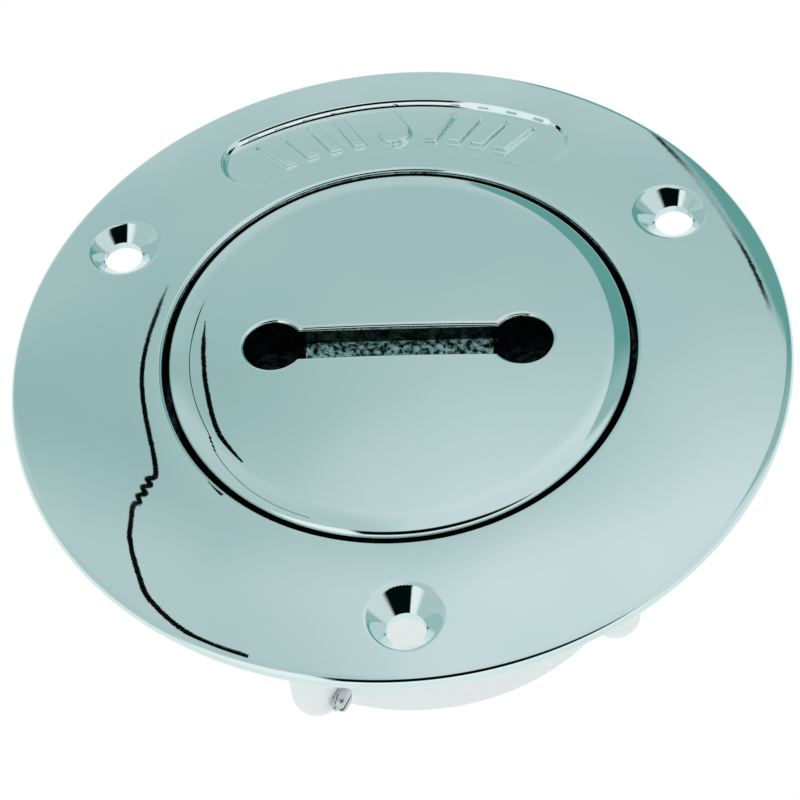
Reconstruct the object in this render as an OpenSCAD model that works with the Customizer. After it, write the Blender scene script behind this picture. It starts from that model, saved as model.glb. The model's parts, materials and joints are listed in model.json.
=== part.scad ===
// Deck fill cap: a chromed deck flange with a 45 degree hose tail, and a screw-in cap on a chain.
// The origin is the middle of the flange's underside, which lies on the deck. +Z points up out of
// the deck and +Y runs from the axis to the marked recess.

/* [Flange] */
// Radius of the deck flange
flange_r = 45; // [42:1:50]
// Height of the flange's edge, where its rounded rim ends
rim_h = 2; // [1.6:0.1:2.4]
// Height of the flange beside the cap
inner_h = 3.5; // [3.2:0.1:4]
// Radius of the circle that the deck screws stand on
screw_circle_r = 37.5; // [36:0.5:38]
// Radius of a deck screw's hole
screw_hole_r = 2.25; // [2:0.05:2.5]
// Radius of the countersink at the flange's top
countersink_r = 4.2; // [3.8:0.1:4.6]

/* [Marked recess] */
// Middle radius of the curved recess
recess_r = 34.9; // [34:0.1:35.5]
// Half of the recess's width
recess_half_w = 4.1; // [3.6:0.1:4.2]
// Half of the angle that the recess spans, without its round ends
recess_half_angle = 28; // [24:1:32]
// Depth of the recess below the flange's top
recess_depth = 0.9; // [0.5:0.1:1.1]
// Height of the raised marks above the recess's floor
mark_h = 0.7; // [0.4:0.1:0.9]

/* [Cup] */
// Outer radius of the cup under the flange
cup_r = 26.5; // [26:0.1:27]
// Depth of the cup's outside below the deck
cup_depth = 31.5; // [31:0.5:33]
// Radius of the cup's bore below the thread
cup_bore_r = 23.5; // [23.3:0.1:23.6]

/* [Hose tail] */
// Outer radius of the hose tail where the hose sits
tail_r = 19.05; // [18:0.05:19.1]
// Outer radius of the tail's root, whose end stops the hose
tail_root_r = 20; // [19.5:0.1:20.5]
// Radius of the bore through the hose tail
tail_bore_r = 16; // [15:0.5:16.5]
// Length of the hose tail from the cup's axis to its end
tail_l = 58; // [54:1:64]

/* [Cap] */
// Radius of the cap's head
cap_r = 26.6; // [26.4:0.1:26.7]
// Height of the middle of the cap's domed top
cap_crown_h = 5.3; // [4.6:0.1:5.6]
// Radius of a key hole
key_hole_r = 3.5; // [3:0.1:3.8]
// Distance from the axis to a key hole
key_hole_x = 14.25; // [13.5:0.25:15]
// Width of the slot between the key holes
key_slot_w = 4.2; // [3.6:0.1:4.4]
// Depth of the slot
key_slot_depth = 2.6; // [2:0.1:3]
// Depth of a key hole
key_hole_depth = 6; // [5:0.5:6]
// Angle that the closed cap's slot stops at
cap_turn = -2.8; // [-10:0.1:10]

/* [Thread] */
// Distance that the cap rises in one turn
pitch = 3; // [3:0.5:3]
// Radius of the cap's threaded barrel, without its thread
barrel_r = 21.8; // [21.6:0.1:21.8]
// Height of the cap's thread
thread_h = 1; // [0.8:0.1:1]
// Gap between the two threads
thread_gap = 0.28; // [0.25:0.01:0.3]

/* [Chain] */
// Number of chain links
chain_links = 10; // [10:1:10]
// Radius of the chain's wire
wire_r = 0.55; // [0.5:0.01:0.6]
// Inner length of a link
link_l = 4.35; // [4.3:0.05:4.4]
// Inner width of a link
link_w = 2; // [1.9:0.05:2.1]
// Distance between the middles of two linked links
link_pitch = 4.2; // [4.15:0.05:4.25]
// Angle of the chain's upright plane about the cap's axis
chain_turn = 50; // [48:1:54]

/* [Hidden] */
$fn = 96;
chain_names = [for (i = [1:chain_links]) str("chain_link_", i)];

chrome = [0.72, 0.82, 0.82];
steel = [0.62, 0.64, 0.66];

// Flange
seat_floor = -1.6;            // floor of the cap's counterbore
seat_r = 27.3;                // radius of the cap's counterbore
lip = 0.4;                    // rounding of the counterbore's top edge
rim_slope = (inner_h - rim_h) / pow(flange_r - 1 - seat_r, 2);
function flange_top(r) = inner_h - rim_slope * pow(max(r - seat_r, 0), 2);
function arc_points(x, z, r, a0, a1, n) =
  [for (i = [0:n]) let (a = a0 + (a1 - a0) * i / n) [x + r * cos(a), z + r * sin(a)]];
screw_angles = [30, 150, 270];
countersink_h = countersink_r - screw_hole_r;

// Cup
cup_floor = -cup_depth + 2.5;
thread_end = -13.2;           // height where the body's thread runs out
shoulder_r = 30;              // outside of the cup around the counterbore
shoulder_h = 3.5;

// Hose tail
tail_tilt = 45;
tail_origin_z = -24;
tail_wall_start = -5;         // where the tail's closed end starts behind the cup's axis
tail_bore_start = -2;
tail_stop = 32;               // where the root ends and the hose's seat starts
barb_pitch = 6;
barb_depth = 0.9;
barb_land = 1.4;
barbs = 3;

// Bosses beside the cup
boss_r = 3;
boss_circle_r = 28.4;
boss_bottom = -30;
boss_angles = [-116, -37];
bond_z = -26.2;               // height of the bonding screw
bond_shank_r = 0.8;
bond_shank_l = 4;             // length of the bonding screw's shank
bond_washer_t = 0.3;

// Cap
gasket_top = -0.2;            // underside of the cap's head
gasket_bottom = -1.55;
cap_edge_h = 2.75;            // height where the head's side meets its rolled edge
cap_shoulder = [24.4, 4.35];  // radius and height where the rolled edge meets the dome
cap_rise = cap_crown_h - cap_shoulder[1];
barrel_bottom = -13.5;
hollow_r = 17.5;
hollow_top = -4;
dome_r = (pow(cap_shoulder[0], 2) + pow(cap_rise, 2)) / (2 * cap_rise);
function cap_top(r) = cap_crown_h - dome_r + sqrt(pow(dome_r, 2) - r * r);

// Thread
thread_steps = 40;            // facets in one turn
thread_base = 0.95;           // half of the thread's width at the barrel
thread_crest = 0.4;           // half of its width at the crest
thread_turns = 2.75;
thread_low = -11.8;           // height where the cap's thread starts
groove_turns = 5;             // runs out above the counterbore's floor, so the cap's thread can leave
bore_minor_r = barrel_r + 0.35;

// Swivel
stud_r = 2;                   // radius of the swivel screw's shoulder
stud_tip_r = 1.5;             // radius of its tip in the cap
stud_head_r = 3.4;
tag_top = -4.75;
tag_t = 1.15;
tag_r = 4.2;
ear_s = -7;                   // distance from the axis to the tag's ear
ear_hole_z = -11.6;
ear_hole_r = 1.1;
ear_half_w = 2.6;

// Chain curve
hang = 6.6;                   // radius of the hanging curve at its lowest point
hang_start = -31.9;           // length of chain from that point back to the tag
ring_r = link_l / 2 + wire_r;
chain_top = ear_hole_z - 0.4;
function asinh(x) = ln(x + sqrt(x * x + 1));
function hang_s(t) = ear_s + hang * (asinh(t / hang) - asinh(hang_start / hang));
function hang_z(t) =
  chain_top + sqrt(hang * hang + t * t) - sqrt(hang * hang + hang_start * hang_start);
function hang_point(i) = let (t = hang_start + i * link_pitch) [hang_s(t), hang_z(t)];
anchor_major_r = 2.45;
anchor_tilt = 30;
chain_end = hang_point(chain_links + 1);
chain_last = (chain_end - hang_point(chain_links)) / norm(chain_end - hang_point(chain_links));
anchor_hook = chain_end - (wire_r + 0.08) * chain_last;  // the ring's wire inside the last link's bend
anchor_s = anchor_hook[0] + anchor_major_r * cos(anchor_tilt);
anchor_z = anchor_hook[1] + anchor_major_r * sin(anchor_tilt);
staple_r = 0.7;
staple_s = anchor_s + 0.7;
staple_low = anchor_z - 0.75;
staple_high = staple_low + 13.8;
staple_end = 25.9;

// A ring of wire about Z
module torus(major_r, minor_r, angle = 360) {
  rotate_extrude(angle = angle) translate([major_r, 0]) circle(r = minor_r, $fn = 48);
}

// Space above a surface of revolution that lies a depth under the flange's top
module above_flange(depth) {
  steps = 8;
  rotate_extrude()
    polygon(concat([[flange_r, 8], [seat_r, 8]],
      [for (i = [0:steps]) let (r = seat_r + (flange_r - 1 - seat_r) * i / steps)
        [r, flange_top(r) - depth]],
      [[flange_r, rim_h - depth]]));
}

// Outline of the curved recess
module recess_outline() {
  reach = 60;
  a = recess_half_angle;
  intersection() {
    difference() {
      circle(r = recess_r + recess_half_w);
      circle(r = recess_r - recess_half_w);
    }
    polygon([[0, 0], reach * [-sin(a), cos(a)], reach * [0, 1.3], reach * [sin(a), cos(a)]]);
  }
  for (side = [-1, 1])
    rotate(side * a) translate([0, recess_r]) circle(r = recess_half_w);
}

// A drop: the middle mark
module drop() {
  drop_r = 1.9;
  tip = 3;
  tangent = acos(drop_r / (tip + 0.9));
  translate([0, -0.9]) {
    circle(r = drop_r);
    polygon([[0, tip + 0.9], drop_r * [-sin(tangent), cos(tangent)], [0, 0],
      drop_r * [sin(tangent), cos(tangent)]]);
  }
}

// A leaning bar: one of the marks beside the drop
module bar(lean) {
  half_l = 2.4;
  half_w = 0.75;
  polygon([[-half_w - lean, -half_l], [half_w - lean, -half_l],
    [half_w + lean, half_l], [-half_w + lean, half_l]]);
}

module mark_outlines() {
  bar_step = 5;
  first_bar = 9;
  bars_a_side = 4;
  translate([0, recess_r]) drop();
  for (side = [-1, 1], i = [0:bars_a_side - 1])
    rotate(side * (first_bar + bar_step * i)) translate([0, recess_r]) bar(-0.9 * side);
}

// Marks raised from the recess's floor, their tops following the flange
module marks() {
  difference() {
    translate([0, 0, 1]) linear_extrude(5) mark_outlines();
    above_flange(recess_depth - mark_h);
  }
}

// A thread ridge as one sweep: base_r is its root, tip_r its crest, and its halves are half widths
module helix(base_r, tip_r, base_half, tip_half, z0, turns) {
  n = round(turns * thread_steps);
  section = [[base_r, -base_half], [tip_r, -tip_half], [tip_r, tip_half], [base_r, base_half]];
  points = [for (i = [0:n], p = section) let (a = 360 * i / thread_steps)
    [p[0] * cos(a), p[0] * sin(a), z0 + pitch * i / thread_steps + p[1]]];
  sides = [for (i = [0:n - 1], j = [0:3]) let (k = (j + 1) % 4, a = 4 * i + j, b = 4 * i + k)
    each [[a, b, b + 4], [a, b + 4, a + 4]]];
  far_end = [[4 * n, 4 * n + 1, 4 * n + 2], [4 * n, 4 * n + 2, 4 * n + 3]];
  polyhedron(points = points, faces = concat([[0, 3, 2], [0, 2, 1]], sides, far_end));
}

// The body's outside of revolution, solid
module flange_and_cup() {
  rim_r = 1;
  steps = 8;
  top_r = flange_r - rim_r;
  top_w = top_r - seat_r - lip;
  rotate_extrude()
    polygon(concat([[0, -cup_depth], [cup_r - 0.6, -cup_depth], [cup_r, -cup_depth + 0.6]],
      [[cup_r, -shoulder_h - (shoulder_r - cup_r)], [shoulder_r, -shoulder_h], [shoulder_r, 0]],
      [[top_r, 0]],
      arc_points(top_r, rim_r, rim_r, -60, 90, 10),
      [for (i = [steps - 1:-1:0]) let (r = seat_r + lip + top_w * i / steps) [r, flange_top(r)]],
      [[0, flange_top(seat_r + lip)]]));
}

// Everything inside the body, down to the cup's floor
module cup_inside() {
  top = flange_top(seat_r + lip);
  rotate_extrude()
    polygon(concat([[0, cup_floor], [cup_bore_r, cup_floor], [cup_bore_r, thread_end]],
      [[bore_minor_r, thread_end], [bore_minor_r, seat_floor]],
      [[seat_r, seat_floor]],
      arc_points(seat_r + lip, top - lip, lip, 180, 90, 3),
      [[seat_r + lip, 12], [0, 12]]));
}

// Turns what follows so that +Z runs along the hose tail, from the cup's axis
module along_tail() {
  translate([0, 0, tail_origin_z]) rotate([180 + tail_tilt, 0, 0]) children();
}

module tail_tube() {
  rotate_extrude()
    polygon([[0, tail_wall_start], [tail_root_r, tail_wall_start], [tail_root_r, tail_stop],
      [tail_r, tail_stop], [tail_r, tail_l - 1], [tail_r - 0.7, tail_l], [0, tail_l]]);
}

// Steep towards the hose's end stop, so that the hose slides on over it and grips
module barb_groove(at) {
  top = at + barb_pitch - barb_land;
  rotate_extrude() polygon([[tail_r + 1, at], [tail_r, at], [tail_r - barb_depth, top], [tail_r + 1, top]]);
}

// Places what follows on a boss, with +X pointing away from the cup
module at_boss(angle) {
  rotate(angle) translate([boss_circle_r, 0, 0]) children();
}

module boss() {
  translate([0, 0, boss_bottom + boss_r]) {
    cylinder(r = boss_r, h = -boss_bottom - boss_r + 1);
    sphere(r = boss_r);
  }
}

// Turns what follows so that +Z runs along the bonding screw, out of its head
module along_bonding_screw() {
  at_boss(boss_angles[0]) translate([0.5, 0, bond_z]) rotate([-90, 0, 0]) children();
}

// Turns what follows into the chain's upright plane, where X is the distance from the axis
module in_chain_plane() {
  rotate(chain_turn) children();
}

module deck_body() {
  color(chrome) difference() {
    union() {
      difference() {
        union() {
          flange_and_cup();
          along_tail() tail_tube();
          for (a = boss_angles) at_boss(a) boss();
        }
        cup_inside();
        along_tail() translate([0, 0, tail_bore_start])
          cylinder(r = tail_bore_r, h = tail_l - tail_bore_start + 1);
        along_tail() for (i = [0:barbs - 1]) barb_groove(tail_l - 4 - barb_pitch * (i + 1));
        intersection() {
          linear_extrude(8) recess_outline();
          above_flange(recess_depth);
        }
        for (a = screw_angles) rotate(a) translate([screw_circle_r, 0, 0]) {
          translate([0, 0, -1]) cylinder(r = screw_hole_r, h = 8);
          translate([0, 0, flange_top(screw_circle_r) - countersink_h])
            cylinder(r1 = screw_hole_r, r2 = countersink_r + 1, h = countersink_h + 1);
        }
        in_chain_plane() for (z = [staple_low, staple_high])
          translate([staple_s, 0, z]) rotate([0, 90, 0]) cylinder(r = staple_r, h = staple_end - staple_s);
        along_bonding_screw() translate([0, 0, boss_r + bond_washer_t - bond_shank_l])
          cylinder(r = bond_shank_r, h = bond_shank_l + 2);
      }
      marks();
    }
    // female thread
    helix(bore_minor_r - 0.4, barrel_r + thread_h + thread_gap, thread_base + thread_gap + 0.2,
      thread_crest + thread_gap, thread_low - pitch, groove_turns);
  }
}

module cap_blank() {
  edge_r = 1.2;
  rotate_extrude()
    polygon(concat([[0, barrel_bottom], [barrel_r - 0.7, barrel_bottom]],
      [[barrel_r, barrel_bottom + 0.7], [barrel_r, gasket_top]],
      [[cap_r - 0.3, gasket_top], [cap_r, gasket_top + 0.3]],
      arc_points(cap_r - edge_r, cap_edge_h, edge_r, 0, 62, 5),
      [for (i = [6:-1:0]) let (r = cap_shoulder[0] * i / 6) [r, cap_top(r)]]));
}

module key_hole(x) {
  translate([x, 0, cap_top(key_hole_x) - key_hole_depth])
    cylinder(r = key_hole_r, h = key_hole_depth + 2);
}

module cap() {
  color(chrome) rotate(cap_turn) union() {
    difference() {
      cap_blank();
      translate([0, 0, barrel_bottom - 1]) cylinder(r = hollow_r, h = hollow_top - barrel_bottom + 1);
      for (side = [-1, 1]) key_hole(side * key_hole_x);
      translate([-key_hole_x, -key_slot_w / 2, cap_top(key_hole_x) - key_slot_depth])
        cube([2 * key_hole_x, key_slot_w, key_slot_depth + 2]);
      translate([0, 0, hollow_top - 0.5]) cylinder(r = stud_tip_r, h = 4.49);
    }
    rotate(-cap_turn)
      helix(barrel_r - 0.4, barrel_r + thread_h, thread_base + 0.2, thread_crest, thread_low, thread_turns);
  }
}

module cap_seal() {
  gasket_outer_r = 26.2;
  color([0.08, 0.08, 0.09]) translate([0, 0, gasket_bottom]) difference() {
    cylinder(r = gasket_outer_r, h = gasket_top - gasket_bottom);
    translate([0, 0, -1]) cylinder(r = barrel_r + 0.05, h = 4);
  }
}

module swivel_screw() {
  color(steel) union() {
    translate([0, 0, -6]) cylinder(r = stud_r, h = 2);
    translate([0, 0, -6]) cylinder(r = stud_tip_r, h = 5.6);
    difference() {
      translate([0, 0, -7.8]) cylinder(r = stud_head_r, h = 1.8);
      translate([-4, -0.5, -8.3]) cube([8, 1, 1.3]);
    }
  }
}

module swivel_washer() {
  color(steel) translate([0, 0, -4.65]) difference() {
    cylinder(r = 4, h = 0.65);
    translate([0, 0, -1]) cylinder(r = stud_r + 0.06, h = 3);
  }
}

module swivel_tag() {
  color(steel) in_chain_plane() difference() {
    union() {
      translate([0, 0, tag_top - tag_t]) cylinder(r = tag_r, h = tag_t);
      translate([ear_s - tag_t / 2, -ear_half_w, tag_top - tag_t])
        cube([-ear_s + tag_t / 2, 2 * ear_half_w, tag_t]);
      translate([ear_s - tag_t / 2, -ear_half_w, ear_hole_z])
        cube([tag_t, 2 * ear_half_w, tag_top - ear_hole_z]);
      translate([ear_s - tag_t / 2, 0, ear_hole_z]) rotate([0, 90, 0]) cylinder(r = ear_half_w, h = tag_t);
    }
    translate([0, 0, tag_top - 3]) cylinder(r = stud_r + 0.08, h = 5);
    translate([ear_s - 2, 0, ear_hole_z]) rotate([0, 90, 0]) cylinder(r = ear_hole_r, h = 4);
  }
}

module swivel_ring() {
  color(steel) in_chain_plane() {
    a = hang_point(0);
    b = hang_point(1);
    translate([(a[0] + b[0]) / 2, 0, (a[1] + b[1]) / 2]) rotate([90, 0, 0]) torus(ring_r, wire_r);
  }
}

// One oval link of round wire, along X in the XY plane
module wire_link() {
  bend_r = link_w / 2 + wire_r;
  half_straight = link_l / 2 + wire_r - bend_r;
  for (side = [0, 180]) rotate(side) {
    translate([half_straight, 0, 0]) rotate(-90) torus(bend_r, wire_r, 180);
    translate([-half_straight, bend_r, 0]) rotate([0, 90, 0])
      cylinder(r = wire_r, h = 2 * half_straight, $fn = 48);
  }
}

module chain_link(i) {
  a = hang_point(i);
  b = hang_point(i + 1);
  color(steel) in_chain_plane()
    translate([(a[0] + b[0]) / 2, 0, (a[1] + b[1]) / 2])
      rotate([0, -atan2(b[1] - a[1], b[0] - a[0]), 0])
        rotate([i % 2 == 0 ? 90 : 0, 0, 0]) wire_link();
}

module anchor_ring() {
  color(steel) in_chain_plane() translate([anchor_s, 0, anchor_z])
    rotate([0, -anchor_tilt, 0]) torus(anchor_major_r, wire_r);
}

module anchor_staple() {
  corner_r = 1.2;
  color(steel) in_chain_plane() {
    translate([staple_s, 0, staple_low + corner_r])
      cylinder(r = staple_r, h = staple_high - staple_low - 2 * corner_r);
    for (end = [0, 1])
      translate([staple_s + corner_r, 0, end ? staple_high - corner_r : staple_low + corner_r])
        mirror([0, 0, end]) rotate([90, 0, 0]) rotate(180) torus(corner_r, staple_r, 90);
    for (z = [staple_low, staple_high]) translate([staple_s + corner_r, 0, z]) rotate([0, 90, 0])
      cylinder(r = staple_r, h = staple_end - staple_s - corner_r);
  }
}

module bonding_screw() {
  head_r = 1.4;
  head_h = 1;
  seat = boss_r + bond_washer_t;
  color(steel) along_bonding_screw() {
    translate([0, 0, seat - bond_shank_l]) cylinder(r = bond_shank_r, h = bond_shank_l);
    difference() {
      translate([0, 0, seat]) cylinder(r = head_r, h = head_h);
      translate([-3, -0.2, seat + head_h - 0.4]) cube([6, 0.4, 2]);
    }
  }
}

// Toothed washer under the bonding screw's head
module bonding_washer() {
  teeth = 10;
  color(steel) along_bonding_screw() translate([0, 0, boss_r]) difference() {
    union() {
      cylinder(r = 1.35, h = bond_washer_t);
      for (i = [0:teeth - 1]) rotate(360 * i / teeth) translate([1, -0.15, 0])
        cube([0.6, 0.3, bond_washer_t]);
    }
    translate([0, 0, -1]) cylinder(r = bond_shank_r + 0.05, h = 3);
  }
}

deck_body();
cap();
cap_seal();
swivel_screw();
swivel_washer();
swivel_tag();
swivel_ring();
for (i = [1:chain_links]) chain_link(i);
anchor_ring();
anchor_staple();
bonding_screw();
bonding_washer();
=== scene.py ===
import json
import math

import bmesh
import bpy
import numpy as np
from mathutils import Matrix, Vector, noise
from mathutils.geometry import delaunay_2d_cdt

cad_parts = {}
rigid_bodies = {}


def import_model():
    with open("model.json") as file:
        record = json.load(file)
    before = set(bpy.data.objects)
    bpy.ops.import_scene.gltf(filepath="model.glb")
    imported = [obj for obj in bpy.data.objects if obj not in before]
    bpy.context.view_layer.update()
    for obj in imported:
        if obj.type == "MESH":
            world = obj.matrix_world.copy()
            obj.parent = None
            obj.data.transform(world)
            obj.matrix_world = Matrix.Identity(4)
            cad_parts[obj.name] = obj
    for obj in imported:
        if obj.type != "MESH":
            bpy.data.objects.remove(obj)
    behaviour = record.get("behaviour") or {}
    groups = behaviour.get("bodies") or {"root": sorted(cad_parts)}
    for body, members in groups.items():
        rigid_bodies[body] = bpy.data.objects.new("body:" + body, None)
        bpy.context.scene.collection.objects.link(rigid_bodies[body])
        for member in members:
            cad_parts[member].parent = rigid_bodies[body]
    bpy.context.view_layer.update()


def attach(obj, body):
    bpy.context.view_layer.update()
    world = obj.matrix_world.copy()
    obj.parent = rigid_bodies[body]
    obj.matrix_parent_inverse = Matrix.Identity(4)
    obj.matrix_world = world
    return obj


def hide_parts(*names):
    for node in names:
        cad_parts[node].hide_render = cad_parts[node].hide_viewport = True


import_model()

# Every size below is in millimetres; makeObject turns them into metres.
mm = 0.001
flange = {"radius": 45.0, "inner": 3.5, "rim": 2.0, "rimRound": 1.0, "seat": 27.3, "seatFloor": -1.6,
          "lip": 0.45, "under": 28.6, "wallLow": -0.7, "rimStart": 79.7, "rimEnd": -60, "steps": 16,
          "fieldEnd": 44.2, "segments": 288}
screwHole = {"circle": 37.5, "radius": 2.25, "sink": 4.2, "angles": (30, 150, 270), "segments": 72,
             "blend": 0.24, "clear": 6.1,
             "rings": (2.7, 3.2, 3.6, 3.85, 4.0, 4.1, 4.2, 4.3, 4.45, 4.7, 5.1, 5.7)}
recess = {"radius": 34.9, "halfWidth": 4.1, "halfAngle": math.radians(28), "depth": 0.9, "wall": 0.75,
          "grain": 0.15, "margin": 0.6, "fineReach": 0.55, "clear": 0.8}
marks = {"height": 0.74, "wall": 0.36, "dropRadius": 1.9, "dropTip": 3.9, "dropDown": 0.9, "barHalf": 2.4,
         "barHalfWidth": 0.75, "barLean": 0.9, "firstBar": 9, "barStep": 5, "barsASide": 4}
cup = {"radius": 26.5, "bottom": -31.5, "shoulder": 30.0, "shoulderLow": -3.5, "flareLow": -7.0, "bore": 23.5,
       "floor": -29.0, "edge": 0.6, "mouth": 28.0, "segments": 144}
thread = {"pitch": 3.0, "low": -11.8, "turns": 2.75, "height": 1.0, "baseHalf": 0.95, "crestHalf": 0.4,
          "barrel": 21.8, "taper": 0.06, "step": 0.15}
groove = {"bore": 22.15, "low": -14.8, "turns": 5.2, "depth": 0.93, "baseHalf": 1.205, "crestHalf": 0.68,
          "end": -13.2, "step": 0.2}
tail = {"radius": 19.05, "root": 20.0, "stop": 32.0, "bore": 16.0, "length": 58.0, "start": -5.0,
        "originZ": -24.0, "tilt": math.radians(225), "barbs": (36, 42, 48), "barbPitch": 6.0,
        "barbDepth": 0.9, "barbLand": 1.4}
boss = {"radius": 3.0, "circle": 28.4, "bottom": -30.0, "angles": (-116, -37)}
capHead = {"radius": 26.6, "crown": 5.3, "shoulder": (24.4, 4.35), "domeEnd": 23.7, "side": 2.75, "edge": 1.2,
           "edgeTurn": 62, "rollSteps": 14, "under": -0.2, "barrelFoot": 21.1, "barrelLow": -13.5,
           "hollow": 17.5, "hollowTop": -4.0, "hollowEdge": 0.6, "turn": math.radians(-2.8),
           "innerRings": (5, 8, 11, 14, 17), "outerRings": (20.5, 21.6, 22.5, 23.2), "segments": 240}
keySlot = {"holeX": 14.25, "holeRadius": 3.5, "holeDepth": 6.0, "halfWidth": 2.1, "depth": 2.6, "lip": 0.42,
           "sideSteps": 40, "arcSteps": 56, "mouthSteps": 20, "clear": 0.5}
roughFloor = {"grain": 0.22, "halfLength": 12, "halfWidth": 2.05, "border": 0.12, "height": 0.28, "fade": 0.3,
              "scale": 1.7}


def makeObject(name, vertices, faces):
    mesh = bpy.data.meshes.new(name)
    mesh.from_pydata([(p[0] * mm, p[1] * mm, p[2] * mm) for p in vertices], [], faces)
    mesh.update()
    obj = bpy.data.objects.new(name, mesh)
    bpy.context.scene.collection.objects.link(obj)
    return obj


# Points and faces of one piece, welded at the end
class Build:
    def __init__(self):
        self.vertices = []
        self.faces = []

    def points(self, points):
        start = len(self.vertices)
        self.vertices += [tuple(float(c) for c in p) for p in points]
        return list(range(start, len(self.vertices)))

    def bridge(self, lower, upper, closed=True):
        n = max(len(lower), len(upper))
        for i in range(n if closed else n - 1):
            j = (i + 1) % n
            if len(lower) == 1:
                self.faces.append((lower[0], upper[j], upper[i]))
            elif len(upper) == 1:
                self.faces.append((lower[i], lower[j], upper[0]))
            else:
                self.faces.append((lower[i], lower[j], upper[j], upper[i]))

    def rings(self, loops, closed=True):
        ids = [self.points(loop) for loop in loops]
        for lower, upper in zip(ids, ids[1:]):
            self.bridge(lower, upper, closed)
        return ids

    def patch(self, points, triangles, heights):
        ids = self.points(np.column_stack([points, heights]))
        self.faces += [tuple(ids[i] for i in f) for f in triangles]

    def finish(self, name, matrix=None):
        vertices = self.vertices
        if matrix is not None:
            vertices = [tuple(matrix @ Vector(v)) for v in vertices]
        obj = makeObject(name, vertices, self.faces)
        work = bmesh.new()
        work.from_mesh(obj.data)
        bmesh.ops.remove_doubles(work, verts=work.verts, dist=0.0005 * mm)
        bmesh.ops.recalc_face_normals(work, faces=work.faces)
        work.to_mesh(obj.data)
        work.free()
        return obj


def circle(radius, z, segments, start=0.0):
    a = start + np.arange(segments) * 2 * math.pi / segments
    return np.column_stack([radius * np.cos(a), radius * np.sin(a), np.full(segments, float(z))])


# Rings for a profile of (radius, height); a radius of 0 is a single point on the axis
def lathe(profile, segments):
    return [circle(r, z, segments) if r > 0 else [(0, 0, z)] for r, z in profile]


def revolve(name, profile, segments, matrix=None):
    piece = Build()
    piece.rings(lathe(profile, segments))
    return piece.finish(name, matrix)


def arc(x, z, radius, start, end, steps):
    a = np.radians(np.linspace(start, end, steps + 1))
    return [(x + radius * math.cos(t), z + radius * math.sin(t)) for t in a]


def smoothByAngle(obj, degrees=32):
    obj.data.polygons.foreach_set("use_smooth", [True] * len(obj.data.polygons))
    obj.data.set_sharp_from_angle(angle=math.radians(degrees))


def boolean(obj, other, operation):
    modifier = obj.modifiers.new("shape", "BOOLEAN")
    modifier.operation = operation
    modifier.solver = "EXACT"
    modifier.object = other
    graph = bpy.context.evaluated_depsgraph_get()
    mesh = bpy.data.meshes.new_from_object(obj.evaluated_get(graph))
    obj.modifiers.clear()
    obj.data = mesh
    bpy.data.objects.remove(other)


# Puts the meshes of several objects into the first
def joinMeshes(first, *others):
    work = bmesh.new()
    work.from_mesh(first.data)
    for other in others:
        work.from_mesh(other.data)
        bpy.data.objects.remove(other)
    work.to_mesh(first.data)
    work.free()
    return first


def triangulate(loops, inner):
    points, edges = [], []
    for loop in loops:
        start, n = len(points), len(loop)
        points += [Vector(p[:2]) for p in loop]
        edges += [(start + i, start + (i + 1) % n) for i in range(n)]
    points += [Vector(p[:2]) for p in inner]
    result = delaunay_2d_cdt(points, edges, [], 0, 1e-7)
    return np.array([tuple(p) for p in result[0]]), np.array([tuple(f) for f in result[2]])


def smoothstep(x):
    x = np.clip(x, 0, 1)
    return x * x * (3 - 2 * x)


# Distance from points to a closed outline, negative inside it
def outlineDistance(points, outline):
    best = np.full(len(points), 1e9)
    inside = np.zeros(len(points), bool)
    for a, b in zip(outline, np.roll(outline, -1, axis=0)):
        edge, away = b - a, points - a
        t = np.clip(away @ edge / (edge @ edge), 0, 1)
        best = np.minimum(best, np.linalg.norm(away - t[:, None] * edge, axis=1))
        crosses = (a[1] > points[:, 1]) != (b[1] > points[:, 1])
        rise = edge[1] if abs(edge[1]) > 1e-12 else 1e-12
        inside ^= crosses & (points[:, 0] < edge[0] * (points[:, 1] - a[1]) / rise + a[0])
    return np.where(inside, -best, best)


def turned(points, angle):
    c, s = math.cos(angle), math.sin(angle)
    return np.column_stack([points[:, 0] * c - points[:, 1] * s, points[:, 0] * s + points[:, 1] * c])


# Normals of a height field, from its slopes
def fieldNormals(points, heightAt, step=0.01):
    dx = (heightAt(points + (step, 0)) - heightAt(points - (step, 0))) / (2 * step)
    dy = (heightAt(points + (0, step)) - heightAt(points - (0, step))) / (2 * step)
    normals = np.column_stack([-dx, -dy, np.ones(len(points))])
    return normals / np.linalg.norm(normals, axis=1)[:, None]


# Gives the faces that lie on a height field its exact normals; the rest keep their own
def setFieldNormals(obj, heightAt, reach):
    mesh = obj.data
    count = len(mesh.vertices)
    co = np.empty(count * 3)
    mesh.vertices.foreach_get("co", co)
    co = co.reshape(-1, 3) / mm
    on = (np.abs(co[:, 2] - heightAt(co[:, :2])) < 0.004) & (np.hypot(co[:, 0], co[:, 1]) < reach)
    exact = np.zeros((count, 3))
    exact[on] = fieldNormals(co[on, :2], heightAt)
    normals = np.zeros((len(mesh.loops), 3))
    sides = {}
    for face in mesh.polygons:
        inField = face.normal.z > 0.2 and all(on[v] for v in face.vertices)
        for key in face.edge_keys:
            sides.setdefault(key, set()).add(inField)
        if inField:
            for loop in face.loop_indices:
                normals[loop] = exact[mesh.loops[loop].vertex_index]
    for edge in mesh.edges:
        if len(sides[edge.key]) > 1:
            edge.use_edge_sharp = True
    mesh.normals_split_custom_set([tuple(n) for n in normals])


def flangeDome(radius):
    reach = flange["radius"] - flange["rimRound"] - flange["seat"]
    slope = (flange["inner"] - flange["rim"]) / reach ** 2
    return flange["inner"] - slope * np.maximum(radius - flange["seat"], 0) ** 2


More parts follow.
